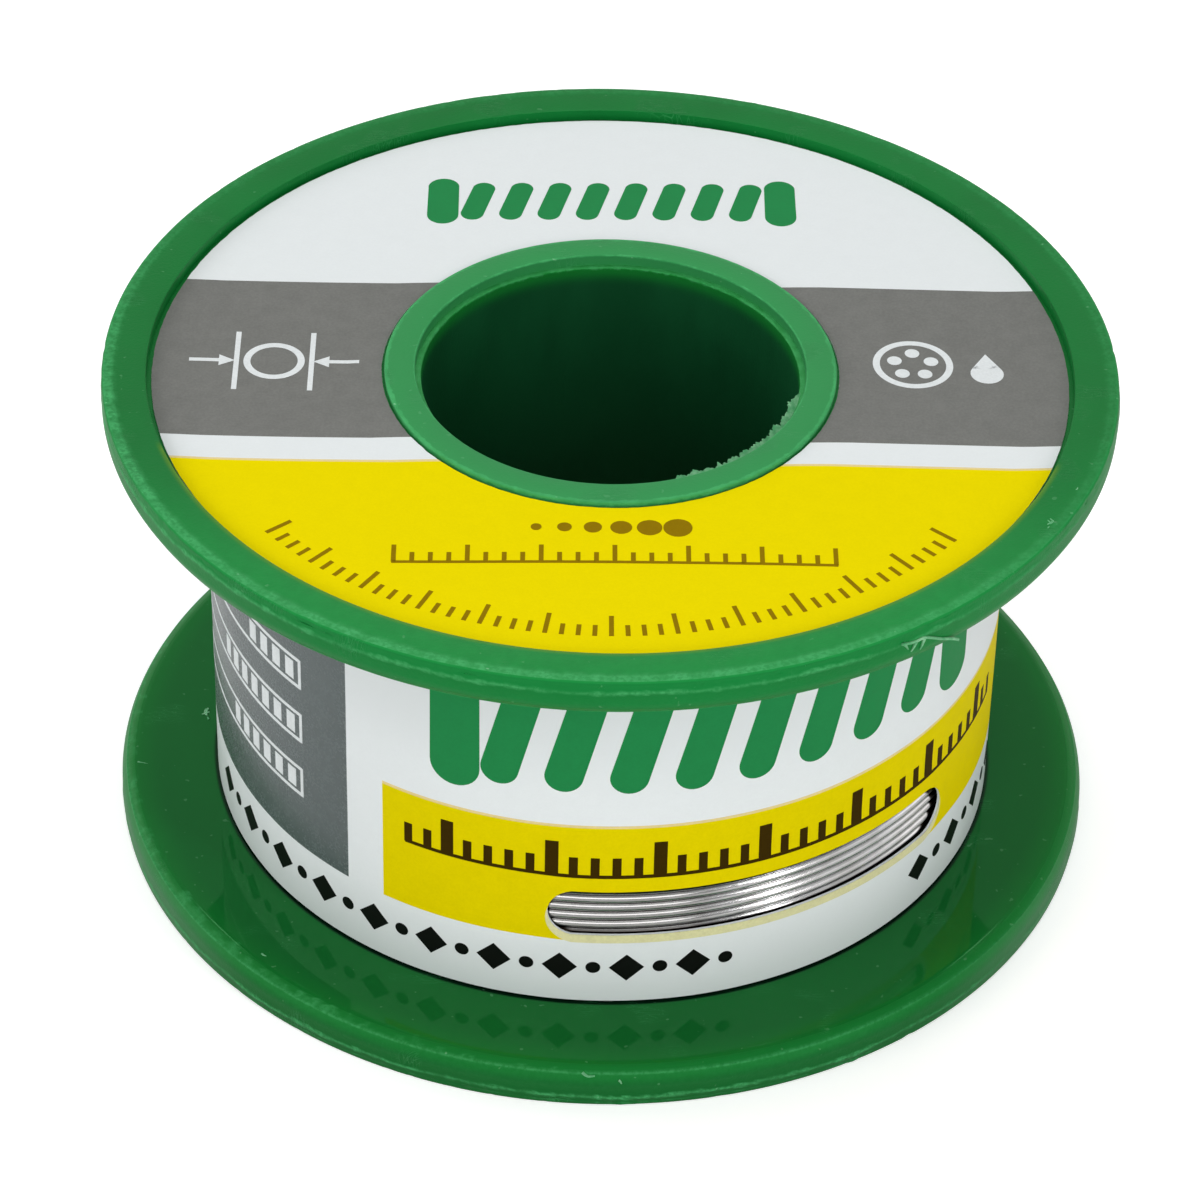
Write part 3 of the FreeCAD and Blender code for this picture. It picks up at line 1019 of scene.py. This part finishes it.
def ring_label(name):
    """A printed paper ring lying on height 0 with its print facing up."""
    piece = add_tube(name, 720, label_radius, label_hole_radius, 0, paper, end_steps=6)
    across = Vector((-math.sin(print_tilt), math.cos(print_tilt), 0))
    for line in (grey_top, grey_bottom, yellow_top + edge_line, yellow_top):
        cut_through(across * line, across)
    bpy.ops.object.mode_set(mode="OBJECT")
    for ink in (white_paper, grey_ink, yellow_ink, edge_ink):
        piece.data.materials.append(ink)
    for face in piece.data.polygons:
        line = face.center.dot(across)
        if face.normal.z < 0.9:
            face.material_index = 0
        elif grey_bottom < line < grey_top:
            face.material_index = 1
        elif line < yellow_top + edge_line:
            face.material_index = 2 if line < yellow_top else 3
    join_into(piece, ring_prints())
    for vert in piece.data.vertices:
        radius = vert.co.xy.length
        inside = min(radius - label_hole_radius, label_radius - radius)
        held = as_share(inside / (2 * mm))
        vert.co.y += 0.16 * mm * held * math.sin(vert.co.x / (7 * mm) + 0.8)
        if inside < touching:
            cut = noise.noise(vert.co / (0.35 * mm))
            vert.co.xy += vert.co.xy.normalized() * 0.025 * mm * cut
        vert.co.z += 0.02 * mm * held * noise.noise(Vector((vert.co.x, vert.co.y, 0)) / (8 * mm))
    finish_piece(piece, 30)
    return piece


lower_label = ring_label("lower_ring_label")
turn_over(lower_label, label_recess)
upper_label = ring_label("upper_ring_label")
upper_label.data.transform(Matrix.Translation((0, 0, label_low.z)))
for piece, node in ((lower_label, "lower_flange_label"), (upper_label, "upper_flange_label")):
    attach(piece, "root")
    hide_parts(node)

# The wrap label is one printed strip, die-cut flat with a window, then rolled round the
# winding and glued over its own end at the back. The window shows the wire.
# A grey panel, a yellow panel round the window and the prints lie on the white paper.
wrap_low, wrap_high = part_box("wrap_label")
wrap_radius = wrap_high.x - paper
wrap_bottom = wrap_low.z
wrap_top = wrap_high.z
seam_azimuth = math.radians(160.0)
overlap_sweep = 9.0 * mm / wrap_radius
strip_start = (seam_azimuth - 2 * math.pi) * wrap_radius
strip_end = (seam_azimuth + overlap_sweep) * wrap_radius
panel_bottom = 7.25 * mm
grey_panel = (math.radians(-152.0) * wrap_radius, math.radians(-37.9) * wrap_radius)
grey_panel_top = 26.6 * mm
yellow_panel = (math.radians(-31.7) * wrap_radius, math.radians(112.0) * wrap_radius)
yellow_panel_top = 15.75 * mm


def from_window(along, height):
    """How far a point of the flat strip lies outside the window's edge."""
    half_straight = (window_length - window_height) / 2
    aside = max(0.0, abs(along - window_azimuth * wrap_radius) - half_straight)
    return math.hypot(aside, height - window_middle) - window_height / 2


def roll_round_winding(piece):
    """Roll a flat strip round the winding: x is the way round, y the height, z the way out."""
    for vert in piece.data.vertices:
        along, height, out = vert.co
        azimuth = along / wrap_radius
        over_seam = as_share((math.degrees(azimuth) - 150.0) / 10.0)
        over_seam = over_seam * over_seam * (3 - 2 * over_seam)
        lifted = 0.1 * mm * math.exp(-((max(0.0, from_window(along, height)) / (1.1 * mm)) ** 2))
        place = Vector((math.sin(azimuth) * 4, math.cos(azimuth) * 4, height / (8 * mm)))
        wave = max(0.0, 0.03 * mm * noise.noise(place))
        radius = wrap_radius + paper + out + lifted + wave + over_seam * (paper + 0.01 * mm)
        vert.co = (radius * math.sin(azimuth), -radius * math.cos(azimuth), height)


bpy.ops.mesh.primitive_grid_add(x_subdivisions=320, y_subdivisions=26, size=1)
wrap_label = edit_new_piece("wrap_strip")
strip_size = (strip_end - strip_start, wrap_top - wrap_bottom, 1)
strip_middle = ((strip_start + strip_end) / 2, (wrap_bottom + wrap_top) / 2, 0)
bpy.ops.mesh.select_all(action="SELECT")
bpy.ops.transform.resize(value=strip_size, center_override=(0, 0, 0))
bpy.ops.transform.translate(value=strip_middle)
for line in (*grey_panel, *yellow_panel):
    cut_through((line, 0, 0), (1, 0, 0))
for line in (panel_bottom, grey_panel_top, yellow_panel_top - edge_line, yellow_panel_top):
    cut_through((0, line, 0), (0, 1, 0))
bpy.ops.object.mode_set(mode="OBJECT")
for ink in (wrap_white_lit_and_shaded, wrap_grey_ink, wrap_yellow_shaded_ink, edge_ink):
    wrap_label.data.materials.append(ink)
for face in wrap_label.data.polygons:
    along, height, _ = face.center
    if grey_panel[0] < along < grey_panel[1] and panel_bottom < height < grey_panel_top:
        face.material_index = 1
    elif yellow_panel[0] < along < yellow_panel[1] and panel_bottom < height < yellow_panel_top:
        face.material_index = 2 if height < yellow_panel_top - edge_line else 3
apply_modifier(wrap_label, "SOLIDIFY", thickness=paper, offset=-1)

# The back of the strip and its cut edges are bare paper.
for face in wrap_label.data.polygons:
    if face.normal.z < 0.9:
        face.material_index = 0

# Places along the flat strip are given in degrees round the winding, from the front.
degree = math.radians(1) * wrap_radius
scale_base = 12.0
dotted_row = 5.2 * mm
bars_left, bars_right = -82 * degree, -47 * degree


def wrap_prints():
    """The prints of the wrap label, laid flat: a reel, a scale, dots and diamonds, and bars."""
    brown_marks = [lay_bar(23.5 * degree, 12.05 * mm, 103 * degree, 0.24 * mm)]
    for tick in range(35):
        tall, wide = (2.5, 0.75) if tick % 5 == 2 else (1.4, 0.5)
        middle = (scale_base + tall / 2) * mm
        brown_marks.append(lay_bar((-27.5 + 3 * tick) * degree, middle, wide * mm, tall * mm))
    black_marks = []
    for first, count in ((-71, 20), (53, 11)):
        for step in range(count):
            along = (first + 4.7 * step) * degree
            radius, corners = (0.42 * mm, 28) if step % 2 else (1.0 * mm, 4)
            black_marks.append(lay_dot(along, dotted_row, radius, corners))
    white_marks = []
    for middle, blocks in ((20.0 * mm, 4), (16.1 * mm, 7), (12.1 * mm, 6)):
        for side in (-1, 1):
            white_marks.append(lay_bar((bars_left + bars_right) / 2, middle + side * 0.95 * mm,
                                       bars_right - bars_left, 0.24 * mm))
        for end in (bars_left, bars_right):
            white_marks.append(lay_bar(end, middle, 0.24 * mm, 2.1 * mm))
        for block in range(blocks):
            place = bars_right - (0.9 + 1.28 * block) * mm
            white_marks.append(lay_bar(place, middle, 0.75 * mm, 1.3 * mm))
    emblem = reel_emblem(19 * degree, 21.9 * mm, 34.6 * mm, 9.2 * mm)
    # A thin grey line beside the overlapping end is painted shadow with some grime.
    beside_seam = strip_start + overlap_sweep * wrap_radius + 0.08 * mm
    seam_shadow_and_grime = lay_bar(beside_seam, strip_middle[1], 0.14 * mm, strip_size[1] - 0.1 * mm)
    return [inked(emblem, green_ink), inked(brown_marks, brown_ink), inked(black_marks, black_ink),
            inked(white_marks, white_ink), inked([seam_shadow_and_grime], wrap_grey_ink)]


def lay_window(x, y, longer, taller, depth):
    """The window's outline, grown by margins, as a plate lying along the strip."""
    plate = lay_stadium(0, 0, window_height + taller, window_length + longer, math.radians(90), depth)
    plate.data.transform(Matrix.Translation((x, y, 0)))
    return plate


window_along = window_azimuth * wrap_radius
halo = lay_window(window_along, window_middle - 0.42 * mm, 0.24 * mm, 0.38 * mm, 2 * ink_film)
for sheet in (wrap_label, halo):
    die = lay_window(window_along, window_middle, 0, 0, 6 * paper)
    pick_only(sheet)
    apply_modifier(sheet, "BOOLEAN", operation="DIFFERENCE", object=die)
    bpy.data.objects.remove(die)
join_into(wrap_label, wrap_prints() + [inked([halo], halo_ink)])
roll_round_winding(wrap_label)
finish_piece(wrap_label)
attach(wrap_label, "root")
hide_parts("wrap_label")

# The spool stands on a pale floor in a white tent that is open towards the camera.
# Soft lights stand overhead, in front, on the left and at the back, and a strip light on the
# right draws the bright streak on the wire.
bpy.ops.mesh.primitive_plane_add(size=4.0)
floor = bpy.context.active_object
floor.name = "floor"
floor_tree, floor_shader, floor_material = new_material("pale_floor")
floor_shader.inputs["Base Color"].default_value = (0.8, 0.8, 0.8, 1)
floor_shader.inputs["Roughness"].default_value = 0.9
floor_shader.inputs["Emission Color"].default_value = (1, 1, 1, 1)
ray = floor_tree.nodes.new("ShaderNodeLightPath").outputs
floor_seen = calc(floor_tree, "MAXIMUM", ray["Is Camera Ray"], ray["Is Transmission Ray"])
floor_seen = calc(floor_tree, "MULTIPLY_ADD", ray["Is Glossy Ray"], 0.1, floor_seen)
feed(floor_tree, floor_shader.inputs["Emission Strength"], times(floor_tree, floor_seen, 0.5))
floor.data.materials.append(floor_material)

world = bpy.data.worlds.new("studio")
bpy.context.scene.world = world
world.use_nodes = True
sky = world.node_tree
_, backward, upward = place_on_piece(sky, "Generated")
ray = sky.nodes.new("ShaderNodeLightPath").outputs
seen = calc(sky, "MAXIMUM", ray["Is Camera Ray"], ray["Is Transmission Ray"])
opening = calc(sky, "MULTIPLY_ADD", ramp(sky, backward, -0.6, -0.88), -0.75, 1.0)
ceiling = calc(sky, "MULTIPLY_ADD", ramp(sky, upward, 0.2, 0.55), -0.4, 1.0)
tent = times(sky, opening, ceiling, ray["Is Glossy Ray"])
background = sky.nodes["Background"].inputs
feed(sky, background["Strength"], calc(sky, "MAXIMUM", calc(sky, "MAXIMUM", seen, tent), 0.1))
background["Color"].default_value = (1, 1, 1, 1)

spool_middle = Vector((0, 0, (flange_high.z + cad_box[0].z) / 2))


def soft_light(name, azimuth, elevation, distance, width, height, power):
    """A rectangular soft light that faces the spool."""
    light = bpy.data.lights.new(name, "AREA")
    light.shape = "RECTANGLE"
    light.size = width
    light.size_y = height
    light.energy = power
    lamp = bpy.data.objects.new(name, light)
    bpy.context.scene.collection.objects.link(lamp)
    azimuth, elevation = math.radians(azimuth), math.radians(elevation)
    away = Vector((math.sin(azimuth) * math.cos(elevation), -math.cos(azimuth) * math.cos(elevation),
                   math.sin(elevation)))
    lamp.location = spool_middle + away * distance
    lamp.rotation_euler = away.to_track_quat("Z", "Y").to_euler()


# The numbers are azimuth and elevation in degrees, distance, width and height in m, and W.
soft_light("overhead", 0, 76, 0.24, 0.15, 0.15, 0.1)
soft_light("front", 0, 24, 0.6, 0.5, 0.3, 1.08)
soft_light("left", -62, 25, 0.6, 0.3, 0.3, 0.9)
soft_light("left_side", -112, 22, 0.6, 0.3, 0.3, 0.9)
soft_light("right_strip", 46.5, 20, 0.45, 0.05, 0.35, 0.62)
soft_light("right_side", 100, 20, 0.6, 0.3, 0.3, 0.17)
soft_light("back", 180, 64, 0.6, 0.4, 0.3, 1.35)

# The camera stands in front of the spool and well above it, with a long lens, as the
# photograph was taken.
camera_distance = 9.8857 * flange_radius
camera_elevation = math.radians(38.105)
camera_pan = 0.003162
camera_tilt = -0.001993
camera_roll = 0.02374
aim_height = 0.5097 * flange_radius
photo_turn = (Matrix.Rotation(camera_pan, 4, "Y") @ Matrix.Rotation(camera_tilt, 4, "X")
              @ Matrix.Rotation(camera_roll, 4, "Z"))
lens = bpy.data.cameras.new("photo_camera")
lens.sensor_width = 36.0
lens.lens = 148.3
lens.clip_start = 0.01
lens.clip_end = 20.0
camera = bpy.data.objects.new("photo_camera", lens)
bpy.context.scene.collection.objects.link(camera)
camera.matrix_world = (
    Matrix.Translation((0, -camera_distance * math.cos(camera_elevation),
                        aim_height + camera_distance * math.sin(camera_elevation)))
    @ Matrix.Rotation(math.pi / 2 - camera_elevation, 4, "X")
    @ photo_turn
)
bpy.context.scene.camera = camera
bpy.context.scene.view_settings.view_transform = "Standard"
